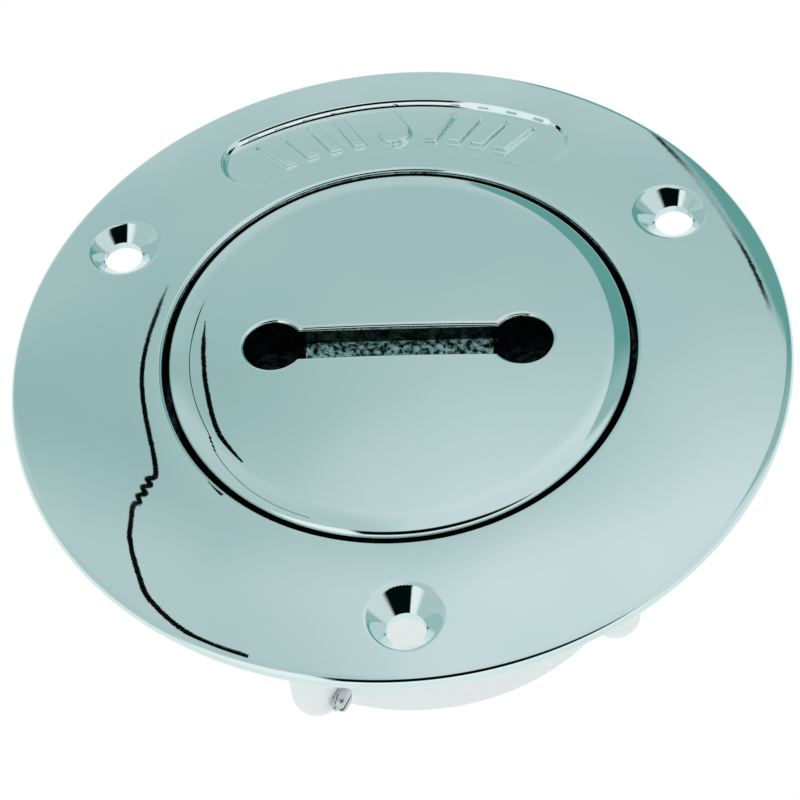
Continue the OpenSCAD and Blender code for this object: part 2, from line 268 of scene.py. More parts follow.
# Raised marks in the recess: a drop between leaning bars
def markOutlines():
    radius = marks["dropRadius"]
    tangent = math.acos(radius / marks["dropTip"])
    around = np.linspace(math.pi / 2 + tangent, 2.5 * math.pi - tangent, 40)
    drop = [(radius * math.cos(a), radius * math.sin(a)) for a in around]
    drop = np.array(drop + [(0.0, marks["dropTip"])])
    outlines = [drop + (0, recess["radius"] - marks["dropDown"])]
    half, width = marks["barHalf"], marks["barHalfWidth"]
    for side in (-1, 1):
        lean = -marks["barLean"] * side
        bar = np.array([(-width - lean, -half), (width - lean, -half), (width + lean, half),
                        (-width + lean, half)])
        for i in range(marks["barsASide"]):
            turn = math.radians(side * (marks["firstBar"] + marks["barStep"] * i))
            outlines.append(turned(bar + (0, recess["radius"]), turn))
    return outlines


outlines = markOutlines()
holeCentres = [tuple(screwHole["circle"] * turn(math.radians(a)) for turn in (math.cos, math.sin))
               for a in screwHole["angles"]]


def recessDistance(points):
    radius = np.hypot(points[:, 0], points[:, 1])
    angle = np.arctan2(points[:, 0], points[:, 1])     # from +Y
    end = np.sign(angle) * recess["halfAngle"]
    middle = recess["radius"]
    toEnd = np.hypot(points[:, 0] - middle * np.sin(end), points[:, 1] - middle * np.cos(end))
    return np.where(np.abs(angle) < recess["halfAngle"], np.abs(radius - middle), toEnd) - recess["halfWidth"]


# Height of the flange's top, with the recess, its marks and the countersinks
def flangeHeight(points):
    height = flangeDome(np.hypot(points[:, 0], points[:, 1]))
    edge = recessDistance(points)
    height = height - recess["depth"] * smoothstep(0.5 - edge / recess["wall"])
    near = edge < recess["wall"]
    if near.any():
        distance = np.min([outlineDistance(points[near], m) for m in outlines], axis=0)
        height[near] += marks["height"] * smoothstep(0.5 - distance / marks["wall"])
    sinkTop = flangeDome(screwHole["circle"])
    for x, y in holeCentres:
        cone = sinkTop - (screwHole["sink"] - np.hypot(points[:, 0] - x, points[:, 1] - y))
        mix = np.clip(0.5 + 0.5 * (height - cone) / screwHole["blend"], 0, 1)
        height = height * (1 - mix) + cone * mix - screwHole["blend"] * mix * (1 - mix)
    return height


def offset(points, centre):
    return points + (centre[0], centre[1])


# The flange: top, rolled rim, screw holes, flat underside and the seat's wall
def makeFlange():
    piece = Build()
    n = flange["segments"]
    rimStart = math.radians(flange["rimStart"])
    rimCentre = flange["radius"] - flange["rimRound"]
    outer = rimCentre + flange["rimRound"] * math.cos(rimStart)
    rimZ = float(flangeDome(outer)) - flange["rimRound"] * math.sin(rimStart)
    inner = flange["seat"] + flange["lip"]
    holeLoops = [offset(circle(screwHole["radius"], 0, screwHole["segments"])[:, :2], c) for c in holeCentres]
    fine = []
    for centre in holeCentres:
        for k, radius in enumerate(screwHole["rings"]):
            half = (k % 2) * math.pi / screwHole["segments"]
            fine.append(offset(circle(radius, 0, screwHole["segments"], half)[:, :2], centre))
    grain, margin = recess["grain"], recess["halfWidth"] + recess["margin"]
    widest = recess["halfAngle"] + margin / recess["radius"]
    grid = np.array([(r * math.sin(a), r * math.cos(a))
                     for r in np.arange(recess["radius"] - margin, recess["radius"] + margin, grain)
                     for a in np.arange(-widest, widest, grain / recess["radius"])])
    fine.append(grid[recessDistance(grid) < recess["fineReach"]])
    steps = flange["steps"]
    coarse = np.vstack([circle(inner + (outer - inner) * k / steps, 0, n, (k % 2) * math.pi / n)[:, :2]
                        for k in range(1, steps)])
    clear = recessDistance(coarse) > recess["clear"]
    for x, y in holeCentres:
        clear &= np.hypot(coarse[:, 0] - x, coarse[:, 1] - y) > screwHole["clear"]
    ringLoops = [circle(inner, 0, n)[:, :2], circle(outer, 0, n)[:, :2]]
    points, faces = triangulate(ringLoops + holeLoops, np.vstack(fine + [coarse[clear]]))

    def between(points, faces, low, high):
        middle = points[faces].mean(axis=1)
        r = np.hypot(middle[:, 0], middle[:, 1])
        keep = (r > low * 0.9995) & (r < high)
        for x, y in holeCentres:
            keep &= np.hypot(middle[:, 0] - x, middle[:, 1] - y) > screwHole["radius"] * 0.998
        return faces[keep]

    piece.patch(points, between(points, faces, inner, outer), flangeHeight(points))
    rim = arc(rimCentre, rimZ, flange["rimRound"], flange["rimStart"], flange["rimEnd"], 14)
    piece.rings(lathe(rim + [(rimCentre, 0)], n))
    under = flange["under"]                            # where the underside meets the cup inside the metal
    top = float(flangeDome(inner))
    lip = arc(inner, top - flange["lip"], flange["lip"], 180, 90, 6)
    wall = [(under, 0), (under, flange["wallLow"]), (flange["seat"], flange["wallLow"])]
    piece.rings(lathe(wall + lip, n))
    coarse = np.vstack([circle(r, 0, n)[:, :2] for r in (32.0, 43.0)])
    underLoops = [circle(under, 0, n)[:, :2], circle(rimCentre, 0, n)[:, :2]]
    points, faces = triangulate(underLoops + holeLoops, coarse)
    piece.patch(points, between(points, faces, under, rimCentre), np.zeros(len(points)))
    for loop in holeLoops:
        upper = np.column_stack([loop, flangeHeight(loop)])
        middle = upper.copy()
        middle[:, 2] = upper[:, 2].min() - 0.25
        piece.rings([np.column_stack([loop, np.zeros(len(loop))]), middle, upper])
    return piece.finish("deckBody")


# Height of a thread over its cylinder, at angles (in turns) and a height
def threadRise(turn, z, t, height):
    place = np.round((z - t["low"]) / thread["pitch"] - turn) + turn
    away = np.abs(z - t["low"] - thread["pitch"] * place)
    rise = np.clip((t["baseHalf"] - away) / (t["baseHalf"] - t["crestHalf"]), 0, 1)
    ends = np.clip(place / thread["taper"], 0, 1) * np.clip((t["turns"] - place) / thread["taper"], 0, 1)
    return height * rise * ends


def threadRings(radius, low, high, step, t, height, segments):
    turn = np.arange(segments) / segments
    loops = []
    for z in np.linspace(low, high, int(round((high - low) / step)) + 1):
        r = radius + threadRise(turn, z, t, height)
        angle = turn * 2 * math.pi
        loops.append(np.column_stack([r * np.cos(angle), r * np.sin(angle), np.full(segments, z)]))
    return loops


alongTail = Matrix.Translation((0, 0, tail["originZ"])) @ Matrix.Rotation(tail["tilt"], 4, "X")


# The cup, its bosses and the hose tail, hollowed
def makeCup():
    n = cup["segments"]
    edge = cup["edge"]
    outside = [(0, edge), (cup["shoulder"], edge), (cup["shoulder"], cup["shoulderLow"]),
               (cup["radius"], cup["flareLow"]), (cup["radius"], cup["bottom"] + edge),
               (cup["radius"] - edge, cup["bottom"]), (0, cup["bottom"])]
    body = revolve("cupShape", outside, n)
    profile = [(0, tail["start"]), (tail["root"], tail["start"]), (tail["root"], tail["stop"] - 0.3),
               (tail["root"] - 0.3, tail["stop"]), (tail["radius"], tail["stop"])]
    for at in tail["barbs"]:
        bottom = at + tail["barbPitch"] - tail["barbLand"]
        profile += [(tail["radius"], at), (tail["radius"] - tail["barbDepth"], bottom),
                    (tail["radius"], bottom)]
    profile += [(tail["radius"], tail["length"] - 1), (tail["radius"] - 0.7, tail["length"]),
                (0, tail["length"])]
    boolean(body, revolve("tailShape", profile, n, alongTail), "UNION")
    for degrees in boss["angles"]:
        place = Matrix.Rotation(math.radians(degrees), 4, "Z") @ Matrix.Translation((boss["circle"], 0, 0))
        ball = [(0, boss["bottom"])] + arc(0, boss["bottom"] + boss["radius"], boss["radius"], -75, 0, 7)
        shape = revolve("bossShape", ball + [(boss["radius"], 0.5), (0, 0.5)], 48, place)
        boolean(body, shape, "UNION")
    inside = Build()
    loops = lathe([(0, cup["floor"]), (cup["bore"], cup["floor"]), (cup["bore"], groove["end"])], n)
    loops += threadRings(groove["bore"], groove["end"], flange["seatFloor"], groove["step"], groove,
                         groove["depth"], n)
    low, mouth = flange["wallLow"], cup["mouth"]
    loops += lathe([(flange["seat"], flange["seatFloor"]), (flange["seat"], low), (mouth, low), (mouth, 2),
                    (0, 2)], n)
    inside.rings(loops)
    boolean(body, inside.finish("cupInside"), "DIFFERENCE")
    bore = [(0, -2), (tail["bore"], -2), (tail["bore"], tail["length"] + 1), (0, tail["length"] + 1)]
    boolean(body, revolve("tailBore", bore, n, alongTail), "DIFFERENCE")
    return body


def capDome(radius):
    reach, top = capHead["shoulder"]
    rise = capHead["crown"] - top
    ball = (reach ** 2 + rise ** 2) / (2 * rise)
    return capHead["crown"] - ball + np.sqrt(ball ** 2 - np.minimum(radius, reach) ** 2)


# The rolled edge: from the dome's end, ever steeper, to the arc at the side
def capRoll():
    turn = math.radians(capHead["edgeTurn"])
    centre = capHead["radius"] - capHead["edge"]
    start, end = capHead["domeEnd"], centre + capHead["edge"] * math.cos(turn)
    high, low = float(capDome(start)), capHead["side"] + capHead["edge"] * math.sin(turn)
    reach = end - start
    slopeStart = float(capDome(start + 0.01) - capDome(start - 0.01)) / 0.02 * reach
    slopeEnd = -reach / math.tan(turn)
    points = []
    for t in np.arange(capHead["rollSteps"]) / capHead["rollSteps"]:
        z = ((2 * t ** 3 - 3 * t * t + 1) * high + (t ** 3 - 2 * t * t + t) * slopeStart
             + (3 * t * t - 2 * t ** 3) * low + (t ** 3 - t * t) * slopeEnd)
        points.append((start + reach * t, z))
    return points + arc(centre, capHead["side"], capHead["edge"], capHead["edgeTurn"], 0, 9)


def capHeight(points):
    return capDome(np.hypot(points[:, 0], points[:, 1]))


# Outline of the two key holes and the slot between them, grown by a distance
def keyOutline(grow):
    radius, half = keySlot["holeRadius"] + grow, keySlot["halfWidth"] + grow
    opening = math.asin(half / radius)
    reach = keySlot["holeX"] - radius * math.cos(opening)
    right = [(keySlot["holeX"] + radius * math.cos(a), radius * math.sin(a))
             for a in np.linspace(-math.pi + opening, math.pi - opening, keySlot["arcSteps"])]
    top = [(x, half) for x in np.linspace(reach, -reach, keySlot["sideSteps"])[1:-1]]
    left = [(-x, -y) for x, y in right]
    bottom = [(-x, -y) for x, y in top]
    return np.array(right + top + left + bottom)


# The cap: dome with its rolled edge, key slot, threaded barrel and hollow
def makeCap():
    piece = Build()
    n, lip = capHead["segments"], keySlot["lip"]
    reach = capHead["domeEnd"]
    outline = keyOutline(lip)
    grid = [circle(r, 0, n, (k % 2) * math.pi / n)[:, :2] for k, r in enumerate(capHead["outerRings"])]
    grid = np.vstack(grid + [circle(r, 0, 90)[:, :2] for r in capHead["innerRings"]])
    grid = grid[outlineDistance(grid, outline) > keySlot["clear"]]
    ring = circle(reach, 0, n)[:, :2]
    points, faces = triangulate([ring, outline], grid)
    middle = points[faces].mean(axis=1)
    faces = faces[(outlineDistance(middle, outline) > 0) & (np.hypot(middle[:, 0], middle[:, 1]) < reach)]
    piece.patch(points, faces, capHeight(points))
    loops = []
    for k in range(7):
        a = math.radians(15 * k)
        loop = keyOutline(lip * (1 - math.sin(a)))
        loops.append(np.column_stack([loop, capHeight(loop) - lip * (1 - math.cos(a))]))
    slotZ = float(capDome(keySlot["holeX"])) - keySlot["depth"]
    floorZ = float(capDome(keySlot["holeX"])) - keySlot["holeDepth"]
    edge = keyOutline(0)
    loops.append(np.column_stack([edge, np.full(len(edge), (slotZ + 4) / 2)]))
    loops.append(np.column_stack([edge, np.full(len(edge), slotZ)]))
    piece.rings(loops)
    arcSteps, sideSteps = keySlot["arcSteps"], keySlot["sideSteps"] - 2
    right, upper = edge[:arcSteps], edge[arcSteps:arcSteps + sideSteps]
    left, lower = edge[arcSteps + sideSteps:2 * arcSteps + sideSteps], edge[2 * arcSteps + sideSteps:]
    radius = keySlot["holeRadius"]
    opening = math.asin(keySlot["halfWidth"] / radius)
    around = np.linspace(math.pi - opening, math.pi + opening, keySlot["mouthSteps"])[1:-1]
    inner = np.array([(keySlot["holeX"] + radius * math.cos(a), radius * math.sin(a)) for a in around])
    for arcPoints, mouth in ((right, inner), (left, -inner)):
        hole = np.vstack([arcPoints, mouth])
        rings = [np.column_stack([hole, np.full(len(hole), z)])
                 for z in (slotZ, (slotZ + floorZ) / 2, floorZ)]
        ids = piece.rings(rings)
        piece.faces.append(tuple(ids[-1]))
    # the slot's rough cast floor
    border = np.vstack([right[-1:], upper, left[:1], (-inner)[::-1], left[-1:], lower, right[:1],
                        inner[::-1]])
    grain, long, wide = roughFloor["grain"], roughFloor["halfLength"], roughFloor["halfWidth"]
    xs, ys = np.meshgrid(np.arange(-long, long, grain), np.arange(-wide, wide, grain))
    rough = np.column_stack([xs.ravel(), ys.ravel()])
    rough = rough[outlineDistance(rough, border) < -roughFloor["border"]]
    points, faces = triangulate([border], rough)
    faces = faces[outlineDistance(points[faces].mean(axis=1), border) < 0]
    scale = roughFloor["scale"]
    bumps = np.array([noise.fractal(Vector((x * scale, y * scale, 3.0)), 0.8, 2.0, 4) for x, y in points])
    inside = np.clip(-outlineDistance(points, border) / roughFloor["fade"], 0, 1)
    piece.patch(points, faces, slotZ + roughFloor["height"] * bumps * inside)
    # rolled edge, side and underside
    roll = capRoll()
    under = capHead["under"]
    roll += [(capHead["radius"], under + 0.3), (capHead["radius"] - 0.3, under), (thread["barrel"], under)]
    piece.rings(lathe(roll, n))
    low, hollow, top = capHead["barrelLow"], capHead["hollow"], capHead["hollowTop"]
    foot = thread["barrel"] - capHead["barrelFoot"]
    rings = threadRings(thread["barrel"], low + foot, under, thread["step"], thread, thread["height"], n)
    soft = capHead["hollowEdge"]
    bottom = lathe([(capHead["barrelFoot"], low), (hollow, low), (hollow, top - soft), (hollow - soft, top),
                    (0, top)], n)
    piece.rings(bottom[::-1] + rings)
    return piece.finish("capVisual", Matrix.Rotation(capHead["turn"], 4, "Z"))


deckBody = makeFlange()
joinMeshes(deckBody, makeCup())
smoothByAngle(deckBody)
setFieldNormals(deckBody, flangeHeight, flange["fieldEnd"])
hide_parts("deck_body")
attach(deckBody, "deck_fitting")
print("deck body:", len(deckBody.data.polygons), "faces")

capPiece = makeCap()
smoothByAngle(capPiece)
setFieldNormals(capPiece, capHeight, capHead["domeEnd"] + 0.01)
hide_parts("cap")
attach(capPiece, "fill_cap")
print("cap:", len(capPiece.data.polygons), "faces")


# Flat plate from an outline with one round hole, its edges softened by a small chamfer
def plate(name, outline, holeCentre, holeRadius, low, high, matrix=None, chamfer=0.12):
    piece = Build()
    n = 48
    hole = offset(circle(1, 0, n)[:, :2] * holeRadius, holeCentre)
    middle = outline.mean(axis=0)
    inward = outline - middle
    inset = middle + inward * (1 - chamfer / np.linalg.norm(inward, axis=1)[:, None])
    wide = offset(circle(1, 0, n)[:, :2] * (holeRadius + chamfer), holeCentre)

    def level(points, z):
        return np.column_stack([points, np.full(len(points), z)])

    for z, facing in ((low, -1), (high, 1)):
        points, faces = triangulate([inset, wide], [])
        centres = points[faces].mean(axis=1)
        keep = (outlineDistance(centres, wide) > 0) & (outlineDistance(centres, inset) < 0)
        piece.patch(points, faces[keep], np.full(len(points), z))
    for outer, inner in ((outline, inset), (hole, wide)):
        piece.rings([level(inner, low), level(outer, low + chamfer), level(outer, high - chamfer),
                     level(inner, high)])
    return piece.finish(name, matrix)


# Round wire along a path of points
def wire(name, path, radius, closed, sides=20):
    path = [Vector(p) for p in path]
    count = len(path)
    piece, loops = Build(), []
    side = None
    for i, p in enumerate(path):
        ahead = path[(i + 1) % count] if closed or i < count - 1 else p
        behind = path[i - 1] if closed or i > 0 else p
        along = (ahead - behind).normalized()
        if side is None:
            side = along.orthogonal().normalized()
        side = (side - along * side.dot(along)).normalized()
        across = along.cross(side)
        loops.append([p + radius * (math.cos(a) * side + math.sin(a) * across)
                      for a in np.arange(sides) * 2 * math.pi / sides])
    ids = piece.rings(loops)
    if closed:
        # the frame can come back turned, so the last ring joins the nearest points of the first
        first, last = loops[0], loops[-1]
        shift = min(range(sides), key=lambda k: (first[k] - last[0]).length)
        piece.bridge(ids[-1], ids[0][shift:] + ids[0][:shift])
    else:
        piece.faces += [tuple(ids[0]), tuple(ids[-1])]
    return piece.finish(name)


def slotted(name, profile, segments, slotBox, matrix=None):
    obj = revolve(name, profile, segments)
    low, high = slotBox
    cutter = Build()
    corners = ((low[0], low[1]), (high[0], low[1]), (high[0], high[1]), (low[0], high[1]))
    ids = cutter.rings([[(x, y, low[2]) for x, y in corners], [(x, y, high[2]) for x, y in corners]])
    cutter.faces += [tuple(ids[0]), tuple(ids[1])]
    boolean(obj, cutter.finish("slotShape"), "DIFFERENCE")
    if matrix is not None:
        scaled = matrix.copy()
        scaled.translation = matrix.translation * mm
        obj.data.transform(scaled)
    return obj


def declare(obj, body, slotName, *nodes):
    smoothByAngle(obj, 38)
    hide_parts(*nodes)
    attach(obj, body)
    print(obj.name + ":", len(obj.data.polygons), "faces")
    return obj


seal = {"inner": 21.85, "outer": 26.2, "low": -1.55, "high": -0.2, "round": 0.3}
rounds = seal["round"]
sealProfile = (arc(seal["outer"] - rounds, seal["high"] - rounds, rounds, 90, 0, 4)
               + arc(seal["outer"] - rounds, seal["low"] + rounds, rounds, 0, -90, 4)
               + [(seal["inner"] + 0.1, seal["low"]), (seal["inner"], seal["low"] + 0.1),
                  (seal["inner"], seal["high"] - 0.1), (seal["inner"] + 0.1, seal["high"])])
sealPiece = Build()
sealPiece.rings(lathe(sealProfile + sealProfile[:1], 180))
capSeal = declare(sealPiece.finish("capSeal"), "fill_cap", "seal_rubber", "cap_seal")

stud = {"tip": 1.5, "tipTop": -0.4, "shoulder": 2.0, "shoulderTop": -4.0, "seat": -6.0, "head": 3.4,
        "bottom": -7.8, "slotHalf": 0.5, "slotDepth": 0.8}
studProfile = [(0, stud["tipTop"]), (stud["tip"] - 0.3, stud["tipTop"]), (stud["tip"], stud["tipTop"] - 0.3),
               (stud["tip"], stud["shoulderTop"]), (stud["shoulder"], stud["shoulderTop"]),
               (stud["shoulder"], stud["seat"]), (stud["head"] - 0.25, stud["seat"]),
               (stud["head"], stud["seat"] - 0.25), (stud["head"], stud["bottom"] + 0.5),
               (stud["head"] - 0.5, stud["bottom"] + 0.1), (stud["head"] - 0.9, stud["bottom"]),
               (0, stud["bottom"])]
studSlot = ((-4, -stud["slotHalf"], stud["bottom"] - 0.5),
            (4, stud["slotHalf"], stud["bottom"] + stud["slotDepth"]))
swivelScrew = declare(slotted("swivelScrew", studProfile, 64, studSlot), "fill_cap", "steel_turned",
                      "swivel_screw")

washerOutline = circle(4.0, 0, 72)[:, :2]
swivelWasher = declare(plate("swivelWasher", washerOutline, (0, 0), 2.06, -4.65, -4.0), "fill_cap",
                       "steel_turned", "swivel_washer")

chainTurn = Matrix.Rotation(math.radians(50), 4, "Z")
tag = {"top": -4.75, "thick": 1.15, "radius": 4.2, "earX": -7.0, "earHalf": 2.6, "earHoleZ": -11.6,
       "hole": 1.1}
corner = math.acos(tag["earHalf"] / tag["radius"]) + math.pi / 2
tagEnd = tag["earX"] - tag["thick"] / 2
tagTop = [(tag["radius"] * math.cos(a), tag["radius"] * math.sin(a))
          for a in np.linspace(-corner, corner, 60)]
tagTop += [(x, tag["earHalf"]) for x in np.linspace(-4, tagEnd, 8)] + [(tagEnd, 0)]
tagTop += [(x, -tag["earHalf"]) for x in np.linspace(tagEnd, -4, 8)]
tagTop = plate("swivelTag", np.array(tagTop), (0, 0), 2.08, tag["top"] - tag["thick"], tag["top"], chainTurn)
ear = [(tag["earHoleZ"] + tag["earHalf"] * math.sin(a), tag["earHalf"] * math.cos(a))
       for a in np.linspace(0, -math.pi, 30)]
ear += [(z, y) for y in (-tag["earHalf"], tag["earHalf"])
        for z in (np.linspace(-11, tag["top"], 6) if y < 0 else np.linspace(tag["top"], -11, 6))]
upright = Matrix(((0, 0, 1, 0), (0, 1, 0, 0), (1, 0, 0, 0), (0, 0, 0, 1)))     # plate's x becomes height
earPiece = plate("tagEar", np.array(ear), (tag["earHoleZ"], 0), tag["hole"], tagEnd, tagEnd + tag["thick"],
                 chainTurn @ upright)
swivelTag = declare(joinMeshes(tagTop, earPiece), "swivel", "steel_turned", "swivel_tag")

# The chain hangs as a catenary in an upright plane; hangPoint gives where link i touches the one before
chain = {"links": 10, "wire": 0.55, "length": 4.35, "width": 2.0, "pitch": 4.2, "hang": 6.6, "start": -31.9,
         "top": tag["earHoleZ"] - 0.4, "firstX": tag["earX"]}


def hangPoint(i):
    t = chain["start"] + i * chain["pitch"]
    h = chain["hang"]
    x = chain["firstX"] + h * (math.asinh(t / h) - math.asinh(chain["start"] / h))
    return Vector((x, 0, chain["top"] + math.hypot(h, t) - math.hypot(h, chain["start"])))


def ringPath(centre, radius, across, up, steps=72):
    return [centre + radius * (math.cos(a) * across + math.sin(a) * up)
            for a in np.arange(steps) * 2 * math.pi / steps]


flat = Vector((1, 0, 0))
height = Vector((0, 0, 1))
firstRing = ringPath((hangPoint(0) + hangPoint(1)) / 2, chain["length"] / 2 + chain["wire"], flat, height)
swivelRing = declare(wire("swivelRing", [chainTurn @ p for p in firstRing], chain["wire"], True),
                     "swivel", "steel_wire", "swivel_ring")
ringSize = {"radius": 2.45, "tilt": math.radians(30), "gap": 0.08}
lastWay = (hangPoint(chain["links"] + 1) - hangPoint(chain["links"])).normalized()
tilted = Vector((math.cos(ringSize["tilt"]), 0, math.sin(ringSize["tilt"])))
hook = hangPoint(chain["links"] + 1) - (chain["wire"] + ringSize["gap"]) * lastWay
ringMiddle = hook + ringSize["radius"] * tilted
endRing = ringPath(ringMiddle, ringSize["radius"], tilted, Vector((0, 1, 0)))
anchorRing = declare(wire("anchorRing", [chainTurn @ p for p in endRing], chain["wire"], True),
                     "swivel", "steel_wire", "anchor_ring")
staple = {"radius": 0.7, "corner": 1.2, "x": ringMiddle.x + 0.7, "low": ringMiddle.z - 0.75, "height": 13.8,
          "end": 25.9}
path = [(staple["end"], staple["low"])]
path += arc(staple["x"] + staple["corner"], staple["low"] + staple["corner"], staple["corner"], 270, 180, 10)
high = staple["low"] + staple["height"]
path += arc(staple["x"] + staple["corner"], high - staple["corner"], staple["corner"], 180, 90, 10)
path += [(staple["end"], high)]
path = [chainTurn @ Vector((x, 0, z)) for x, z in path]
anchorStaple = declare(wire("anchorStaple", path, staple["radius"], False), "deck_fitting", "steel_wire",
                       "anchor_staple")

# Bonding screw and toothed washer on the left boss
bond = {"z": -26.2, "shank": 0.8, "shankLength": 4.0, "washer": 0.3, "head": 1.4, "headHeight": 1.0,
        "teeth": 10, "toothTip": 1.58, "toothRoot": 1.35}
onBoss = (Matrix.Rotation(math.radians(boss["angles"][0]), 4, "Z")
          @ Matrix.Translation((boss["circle"] + 0.5, 0, bond["z"]))
          @ Matrix.Rotation(math.radians(-90), 4, "X"))
seatZ = boss["radius"] + bond["washer"]
topZ = seatZ + bond["headHeight"]
endZ = seatZ - bond["shankLength"]
screwProfile = [(0, endZ), (bond["shank"], endZ), (bond["shank"], seatZ), (bond["head"] - 0.1, seatZ),
                (bond["head"], seatZ + 0.1), (bond["head"], topZ - 0.25), (bond["head"] - 0.1, topZ - 0.08),
                (bond["head"] - 0.3, topZ), (0, topZ)]
bondSlot = ((-3, -0.2, topZ - 0.4), (3, 0.2, topZ + 1))
bondingScrew = declare(slotted("bondingScrew", screwProfile, 48, bondSlot, onBoss), "deck_fitting",
                       "steel_turned", "bonding_screw")
star, count = [], bond["teeth"] * 6
for i in range(count):
    a = i * 2 * math.pi / count
    r = bond["toothTip"] if i % 6 in (0, 1) else bond["toothRoot"]
    star.append((r * math.cos(a), r * math.sin(a)))
bondingWasher = declare(plate("bondingWasher", np.array(star), (0, 0), bond["shank"] + 0.05, boss["radius"],
                              boss["radius"] + bond["washer"], onBoss, 0.05),
                        "deck_fitting", "steel_turned", "bonding_washer")


# Chain links: one oval of wire placed on points that carry their own turn
def chainTree(material):
    tree = bpy.data.node_groups.new("chainLinks", "GeometryNodeTree")
    tree.interface.new_socket("Geometry", in_out="INPUT", socket_type="NodeSocketGeometry")
    for name in ("Link length", "Link width", "Wire radius"):
        tree.interface.new_socket(name, in_out="INPUT", socket_type="NodeSocketFloat")
    tree.interface.new_socket("Geometry", in_out="OUTPUT", socket_type="NodeSocketGeometry")
    paint = Paint(tree)
    given = paint.node("NodeGroupInput").outputs
    points, length, width, radius = (Value(paint, output) for output in list(given)[:4])
    width = width + radius * 2
    outline = paint.add("GeometryNodeCurvePrimitiveQuadrilateral", None,
                        {"Width": length + radius * 2, "Height": width})
    fillet = paint.add("GeometryNodeFilletCurve", {"mode": "POLY"},
                       {"Curve": outline, "Count": 9, "Radius": width * 0.495})
    section = paint.add("GeometryNodeCurvePrimitiveCircle", None, {"Resolution": 18, "Radius": radius})
    sweep = paint.add("GeometryNodeCurveToMesh", None, {"Curve": fillet, "Profile Curve": section})
    turn = paint.add("GeometryNodeInputNamedAttribute", {"data_type": "FLOAT_VECTOR"}, {"Name": "turn"})
    links = paint.add("GeometryNodeInstanceOnPoints", None,
                      {"Points": points, "Instance": sweep, "Rotation": turn})
    real = paint.add("GeometryNodeRealizeInstances", None, {"Geometry": links})
    painted = paint.add("GeometryNodeSetMaterial", None, {"Geometry": real, "Material": material})
    paint.node("NodeGroupOutput", None, {0: painted})
    return tree


def makeChain(material):
    middles, turns = [], []
    for i in range(1, chain["links"] + 1):
        a, b = hangPoint(i), hangPoint(i + 1)
        slope = math.atan2(b.z - a.z, b.x - a.x)
        roll = math.radians(90 if i % 2 == 0 else 0)
        turn = chainTurn @ Matrix.Rotation(-slope, 4, "Y") @ Matrix.Rotation(roll, 4, "X")
        middles.append(chainTurn @ ((a + b) / 2))
        turns.append(turn.to_euler())
    obj = makeObject("chainLinks", middles, [])
    attribute = obj.data.attributes.new("turn", "FLOAT_VECTOR", "POINT")
    for item, euler in zip(attribute.data, turns):
        item.vector = tuple(euler)
    modifier = obj.modifiers.new("links", "NODES")
    modifier.node_group = chainTree(material)
    sizes = {"Link length": chain["length"] * mm, "Link width": chain["width"] * mm,
             "Wire radius": chain["wire"] * mm}
    for item in modifier.node_group.interface.items_tree:
        if item.in_out == "INPUT" and item.name in sizes:
            modifier[item.identifier] = sizes[item.name]
    graph = bpy.context.evaluated_depsgraph_get()
    mesh = bpy.data.meshes.new_from_object(obj.evaluated_get(graph))
    obj.modifiers.clear()
    obj.data = mesh
    return obj


# A socket that takes part in sums
class Value:
    def __init__(self, paint, output):
        self.paint, self.output = paint, output

    def __add__(self, other):
        return self.paint.sum("ADD", self, other)

    def __sub__(self, other):
        return self.paint.sum("SUBTRACT", self, other)

    def __rsub__(self, other):
        return self.paint.sum("SUBTRACT", other, self)

    def __mul__(self, other):
        return self.paint.sum("MULTIPLY", self, other)

    def __truediv__(self, other):
        return self.paint.sum("DIVIDE", self, other)

    def __pow__(self, other):
        return self.paint.sum("POWER", self, other)

    def __neg__(self):
        return self.paint.sum("MULTIPLY", self, -1)

    def __abs__(self):
        return self.paint.sum("ABSOLUTE", self)

    def over(self, other):
        return self.paint.sum("MAXIMUM", self, other)

    # 0 at low, 1 at high, smooth between
    def ramp(self, low, high):
        settings = {"interpolation_type": "SMOOTHSTEP"}
        return self.paint.add("ShaderNodeMapRange", settings, {0: self, 1: low, 2: high})

    __radd__ = __add__
    __rmul__ = __mul__


# One node tree, filled by one method
class Paint:
    def __init__(self, tree):
        self.tree = tree
        tree.nodes.clear()

    def node(self, kind, settings=None, values=None):
        node = self.tree.nodes.new(kind)
        for key, value in (settings or {}).items():
            setattr(node, key, value)
        for key, value in (values or {}).items():
            if isinstance(value, Value):
                self.tree.links.new(value.output, node.inputs[key])
            else:
                node.inputs[key].default_value = value
        return node

    def add(self, kind, settings=None, values=None, output=0):
        return Value(self, self.node(kind, settings, values).outputs[output])

    def sum(self, operation, a, b=0.0):
        return self.add("ShaderNodeMath", {"operation": operation}, {0: a, 1: b})

    def noise(self, coords, scale, detail=2.0, rough=0.5):
        return self.add("ShaderNodeTexNoise", None,
                        {"Vector": coords, "Scale": scale, "Detail": detail, "Roughness": rough})

    def mix(self, factor, a, b):
        return self.add("ShaderNodeMix", {"data_type": "RGBA"}, {0: factor, 6: a, 7: b}, 2)

    def split(self, vector):
        node = self.node("ShaderNodeSeparateXYZ", None, {0: vector})
        return [Value(self, o) for o in node.outputs]

    def stretched(self, coords, scale):
        return self.add("ShaderNodeMapping", None, {"Vector": coords, "Scale": scale})

    def bump(self, height, distance, strength=1.0, normal=None):
        values = {"Height": height, "Distance": distance, "Strength": strength}
        if normal is not None:
            values["Normal"] = normal
        return self.add("ShaderNodeBump", None, values)

    def surface(self, values):
        shader = self.add("ShaderNodeBsdfPrincipled", None, values)
        self.node("ShaderNodeOutputMaterial", None, {"Surface": shader})


def startMaterial(name):
    material = bpy.data.materials.new(name)
    material.use_nodes = True
    paint = Paint(material.node_tree)
    return material, paint, paint.add("ShaderNodeTexCoord", None, None, 3)


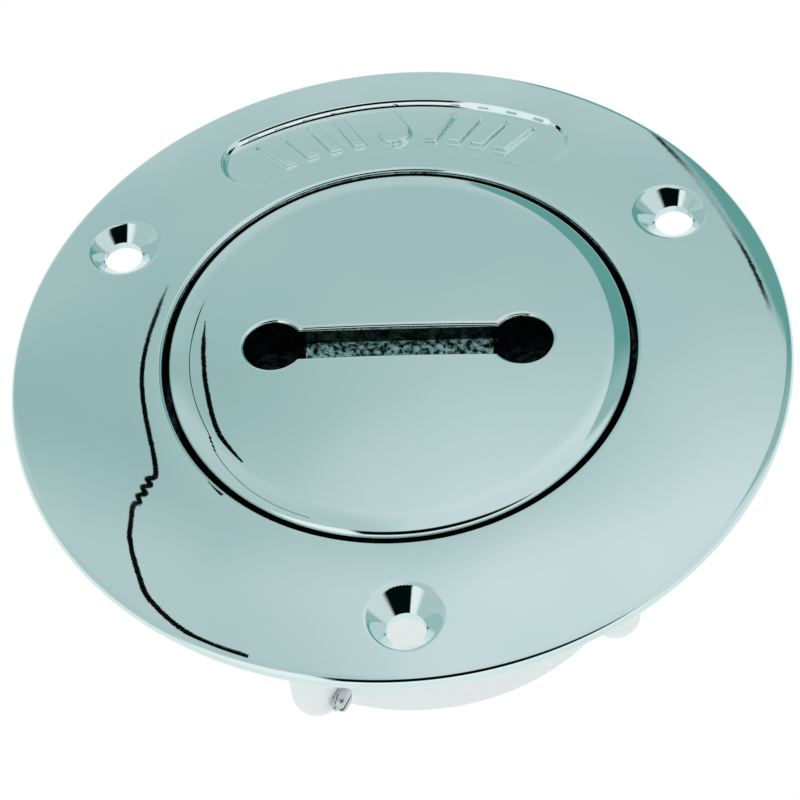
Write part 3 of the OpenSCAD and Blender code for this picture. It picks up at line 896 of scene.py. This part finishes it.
chrome = {"tint": (0.81, 0.895, 0.89, 1), "cool": (0.76, 0.87, 0.87, 1), "cast": (0.93, 0.96, 0.965, 1),
          "castPale": (0.97, 0.985, 0.99, 1), "fleck": (0.30, 0.56, 0.53, 1), "dark": (0.10, 0.13, 0.135, 1),
          "paintedShade": (0.006, 0.009, 0.01, 1), "castRough": 0.5, "darkRough": 0.3}


# Polished plating: dull where it is as cast, its pale tone there partly painted brightness; painted dark as
# shade in its gaps and pockets
def chromePaint(name, zones):
    material, paint, at = startMaterial(name)
    x, y, z = paint.split(at)
    cast, dark, worn = zones((x * x + y * y) ** 0.5 / mm, z / mm)
    wave = paint.noise(at, 60.0, 1.0)
    ripple = paint.noise(at, 330.0, 2.0)
    grain = paint.noise(at, 2600.0, 2.0, 0.6)
    pits = paint.noise(at, 900.0, 3.0, 0.7)
    tint = paint.mix(wave.ramp(0.35, 0.65), chrome["tint"], chrome["cool"])
    # the as-cast underside is dull, and its near-white tone is also painted brightness standing in for light
    # from the pale floor below
    tint = paint.mix(cast, tint, paint.mix(pits.ramp(0.3, 0.7), chrome["cast"], chrome["castPale"]))
    # painted shade: gaps and pockets get near-black colour with dark grey specks, standing in for shadow
    tint = paint.mix(dark, tint, paint.mix(pits.ramp(0.35, 0.7), chrome["paintedShade"], chrome["dark"]))
    fleck = worn * pits.ramp(0.3, 0.62)
    tint = paint.mix(fleck, tint, chrome["fleck"])
    polish = 0.012 + 0.03 * wave.ramp(0.4, 0.75) + 0.02 * grain
    normal = paint.bump(wave, 0.00010, 0.25)
    normal = paint.bump(ripple, 0.000010, 0.3, normal)
    normal = paint.bump(grain, 0.0000018, 0.3, normal)
    normal = paint.bump(pits * dark.over(cast * 0.15), 0.00020, 0.9, normal)
    paint.surface({"Base Color": tint, "Metallic": 1 - 0.85 * cast.over(fleck),
                   "Roughness": polish + cast * chrome["castRough"] + dark * chrome["darkRough"],
                   "Normal": normal})
    return material


def rubberPaint():
    material, paint, at = startMaterial("sealRubber")
    grain = paint.noise(at, 1500.0, 3.0)
    dust = paint.noise(at, 160.0, 2.0)
    colour = paint.mix(dust.ramp(0.4, 0.7), (0.012, 0.012, 0.014, 1), (0.03, 0.031, 0.034, 1))
    paint.surface({"Base Color": colour, "Roughness": 0.45 + 0.25 * grain,
                   "Normal": paint.bump(grain, 0.00004, 0.6)})
    return material


def steelPaint(name, light, dark, scale, depth):
    material, paint, at = startMaterial(name)
    drawn = paint.noise(paint.stretched(at, scale), 900.0, 3.0, 0.6)
    blotch = paint.noise(at, 300.0, 2.0)
    colour = paint.mix(blotch.ramp(0.35, 0.65), light, dark)
    values = {"Base Color": colour, "Metallic": 1.0, "Roughness": 0.2 + 0.15 * drawn,
              "Normal": paint.bump(drawn, depth, 0.6)}
    paint.surface(values)
    return material


# Where each casting is rough, painted dark as shade, and worn, in millimetres from its axis and over the deck
gapTop = {"flange": 3.05, "cap": 2.9}
slotZone = {"radius": 18.4, "top": 4.75, "wornRadius": 10.9}


def flangeZones(radius, height):
    cast = (-height).ramp(0.02, 0.12)
    wall = (flange["seat"] + 0.06 - radius).ramp(0.0, 0.04)
    # painted shade: the seat's wall down in the gap around the cap
    gap = wall * (gapTop["flange"] - height).ramp(0.0, 0.3) * (2.2 + height).ramp(0.0, 0.5)
    return cast * (1 - gap), gap, height * 0


def capZones(radius, height):
    # painted shade: the key slot's pocket and holes, and the cap's side down in the gap
    pocketShade = (slotZone["radius"] - radius).ramp(0.0, 0.3) * (slotZone["top"] - height).ramp(0.0, 0.2)
    gap = (radius - capHead["radius"] + 0.3).ramp(0.0, 0.2) * (gapTop["cap"] - height).ramp(0.0, 0.5)
    slotFloor = float(capDome(keySlot["holeX"])) - keySlot["depth"]
    worn = (slotZone["wornRadius"] - radius).ramp(0.0, 0.2) * (slotFloor + 0.06 - height).ramp(0.0, 0.03)
    worn = worn * height.ramp(1.0, 1.5)
    return (-height).ramp(0.5, 3.0) * 0.3, pocketShade.over(gap), worn


chromeFlange = chromePaint("chromeFlange", flangeZones)
chromeCap = chromePaint("chromeCap", capZones)
sealRubber = rubberPaint()
steelWire = steelPaint("steelWire", (0.56, 0.57, 0.58, 1), (0.42, 0.43, 0.44, 1), (1.0, 1.0, 0.2), 0.00002)
steelTurned = steelPaint("steelTurned", (0.78, 0.8, 0.8, 1), (0.62, 0.64, 0.65, 1), (1.0, 1.0, 4.0), 0.00001)
chainLinks = declare(makeChain(steelWire), "swivel", "steel_wire",
                     *["chain_link_%d" % i for i in range(1, chain["links"] + 1)])
finishes = ((chromeFlange, [deckBody]), (chromeCap, [capPiece]), (sealRubber, [capSeal]),
            (steelWire, [chainLinks, swivelRing, anchorRing, anchorStaple]),
            (steelTurned, [swivelScrew, swivelWasher, swivelTag, bondingScrew, bondingWasher]))
for material, pieces in finishes:
    for obj in pieces:
        obj.data.materials.clear()
        obj.data.materials.append(material)
print("materials given")


# The studio by direction: a pale tent with a dark seam on its right, and someone standing in front
tent = {"dim": (0.13, 0.355, 0.33, 1), "bright": (0.76, 0.82, 0.83, 1), "seam": (0.0, 0.008, 0.01, 1),
        "sides": (0.93, 0.97, 0.97, 1), "person": (0.0, 0.004, 0.004, 1), "below": (0.8, 0.9, 0.9, 1),
        "seamX": 0.174, "seamTop": 0.832, "seamSlope": 0.6, "personX": 0.25}


def makeWorld():
    world = bpy.data.worlds.new("studio")
    bpy.context.scene.world = world
    world.use_nodes = True
    paint = Paint(world.node_tree)
    x, y, z = paint.split(paint.add("ShaderNodeTexCoord", None, None, 0))
    pale = 0.95 - 0.47 * y.ramp(0.42, 0.72) + 0.16 * y.ramp(0.74, 0.9) - 0.06 * (0.45 - y).ramp(0.0, 0.4)
    left = (-x).ramp(-0.02, 0.2) * (0.72 - y).ramp(0.0, 0.16)
    seam = x - tent["seamX"] - (tent["seamTop"] - y) * tent["seamSlope"]
    beyond = seam.ramp(0.0, 0.02) * y.ramp(0.1, 0.3)
    light = (pale - 0.32 * left - 0.62 * beyond).over(0.02)
    colour = paint.mix(light, tent["dim"], tent["bright"])
    line = (1 - abs(seam).ramp(0.002, 0.006)) * y.ramp(0.64, 0.68) * z.ramp(0.1, 0.3)
    line = line * (0.3 + 0.7 * abs(y - 0.76).ramp(0.02, 0.05))
    colour = paint.mix(line, colour, tent["seam"])
    front = (-y).ramp(0.45, 0.62)
    colour = paint.mix(front, colour, tent["sides"])
    person = front * (1 - abs(x - tent["personX"]).ramp(0.55, 0.63))
    person = person * z.ramp(0.28, 0.36) * (0.86 - z).ramp(0.0, 0.06)
    colour = paint.mix(person, colour, tent["person"])
    colour = paint.mix((-z).ramp(0.05, 0.15), colour, tent["below"])
    shine = paint.add("ShaderNodeBackground", None, {"Color": colour, "Strength": 1.0})
    paint.node("ShaderNodeOutputWorld", None, {"Surface": shine})


makeWorld()


paper = {"reach": 3000.0, "level": -78.7, "squares": 12}


def makeFloor():
    piece = Build()
    side = np.linspace(-paper["reach"], paper["reach"], paper["squares"] + 1)
    piece.rings([[(x, y, paper["level"]) for x in side] for y in side], closed=False)
    floor = piece.finish("studioFloor")
    for face in floor.data.polygons:
        if face.normal.z < 0:
            face.flip()
    material, paint, at = startMaterial("floorPaper")
    fibre = paint.noise(at, 40.0, 3.0)
    shade = paint.mix(fibre, (0.99, 0.99, 0.99, 1), (1.0, 1.0, 1.0, 1))
    paint.surface({"Base Color": (0.0, 0.0, 0.0, 1), "Roughness": 1.0, "Specular IOR Level": 0.0,
                   "Emission Color": shade, "Emission Strength": 1.02})
    floor.data.materials.append(material)
    floor.visible_glossy = False            # the plating mirrors the world's pale lower half instead


makeFloor()


def areaLight(name, place, size, power):
    data = bpy.data.lights.new(name, "AREA")
    data.shape = "DISK"
    data.size = size
    data.energy = power
    lamp = bpy.data.objects.new(name, data)
    lamp.location = place
    lamp.rotation_euler = (-Vector(place)).to_track_quat("-Z", "Y").to_euler()
    lamp.visible_glossy = False             # the lamp's disk isn't mirrored
    bpy.context.scene.collection.objects.link(lamp)


# Dark cords hung over the left side; the plating mirrors them as thin black lines
cords = {"outer": {"level": 40.0, "half": 0.52, "path": (
             (-33.5, 44), (-34.8, 38.6), (-36.3, 32.4), (-36.8, 26.7), (-36.2, 20.5), (-35.6, 14), (-36, 9.9),
             (-37.6, 9.2), (-37.2, 8.0), (-38.8, 7.4), (-38.4, 6.2), (-40, 5.6), (-39.8, 4.3), (-41.2, 3.7),
             (-42.2, 0), (-42.9, -3.5), (-42.5, -9.8), (-41.1, -16.2), (-35.1, -23.9), (-26, -29))},
         "inner": {"level": 30.0, "half": 0.36, "path": (
             (-29.5, 28.7), (-29.5, 22.3), (-28.9, 15.4), (-27.1, 7.1), (-24.7, 2.4), (-23.6, 0.6))}}


def smoothPath(path, steps=6):
    ends = [path[0], *path, path[-1]]
    points = []
    for a, b, c, d in zip(ends, ends[1:], ends[2:], ends[3:]):
        a, b, c, d = (np.array(v, dtype=float) for v in (a, b, c, d))
        for t in np.arange(steps) / steps:
            points.append(0.5 * (2 * b + (c - a) * t + (2 * a - 5 * b + 4 * c - d) * t * t
                                 + (3 * b - a - 3 * c + d) * t ** 3))
    return np.array(points + [np.array(path[-1], dtype=float)])


def makeCord(name, level, half, path):
    middle = smoothPath(path)
    ahead = np.gradient(middle, axis=0)
    ahead /= np.linalg.norm(ahead, axis=1, keepdims=True)
    across = np.stack([ahead[:, 1], -ahead[:, 0]], axis=1)
    taper = np.clip(np.arange(len(middle)) / 5, 0.2, 1)[:, None]
    piece = Build()
    sides = [[(x, y, level) for x, y in middle + side * half * taper * across] for side in (-1, 1)]
    piece.rings(sides, closed=False)
    cord = piece.finish(name)
    material, paint, at = startMaterial(name + "Cloth")
    weave = paint.noise(at, 800.0, 2.0)
    paint.surface({"Base Color": paint.mix(weave, (0.0, 0.001, 0.001, 1), (0.003, 0.005, 0.005, 1)),
                   "Roughness": 1.0, "Specular IOR Level": 0.0})
    cord.data.materials.append(material)
    cord.visible_camera = False
    cord.visible_shadow = False
    cord.visible_diffuse = False


for cordName, cord in cords.items():
    makeCord(cordName + "Cord", **cord)
areaLight("softBox", (-0.35, 0.15, 0.9), 0.3, 2.0)
print("studio made")

view = {"yaw": 0.0868, "rise": 0.8971, "roll": -0.1321, "distance": 0.4756, "lens": 187.2,
        "aim": (-0.00021, -0.00465, 0.0)}


def makeCamera():
    data = bpy.data.cameras.new("camera")
    data.lens = view["lens"]
    data.sensor_width = 36.0
    data.clip_start = 0.01
    camera = bpy.data.objects.new("camera", data)
    cosRise = math.cos(view["rise"])
    back = Vector((math.sin(view["yaw"]) * cosRise, -math.cos(view["yaw"]) * cosRise, math.sin(view["rise"])))
    right = Vector((math.cos(view["yaw"]), math.sin(view["yaw"]), 0))
    up = back.cross(right)
    c, s = math.cos(view["roll"]), math.sin(view["roll"])
    matrix = Matrix((c * right + s * up, -s * right + c * up, back)).transposed().to_4x4()
    matrix.translation = Vector(view["aim"]) + back * view["distance"]
    camera.matrix_world = matrix
    bpy.context.scene.collection.objects.link(camera)
    bpy.context.scene.camera = camera


makeCamera()
bpy.context.scene.view_settings.view_transform = "Standard"
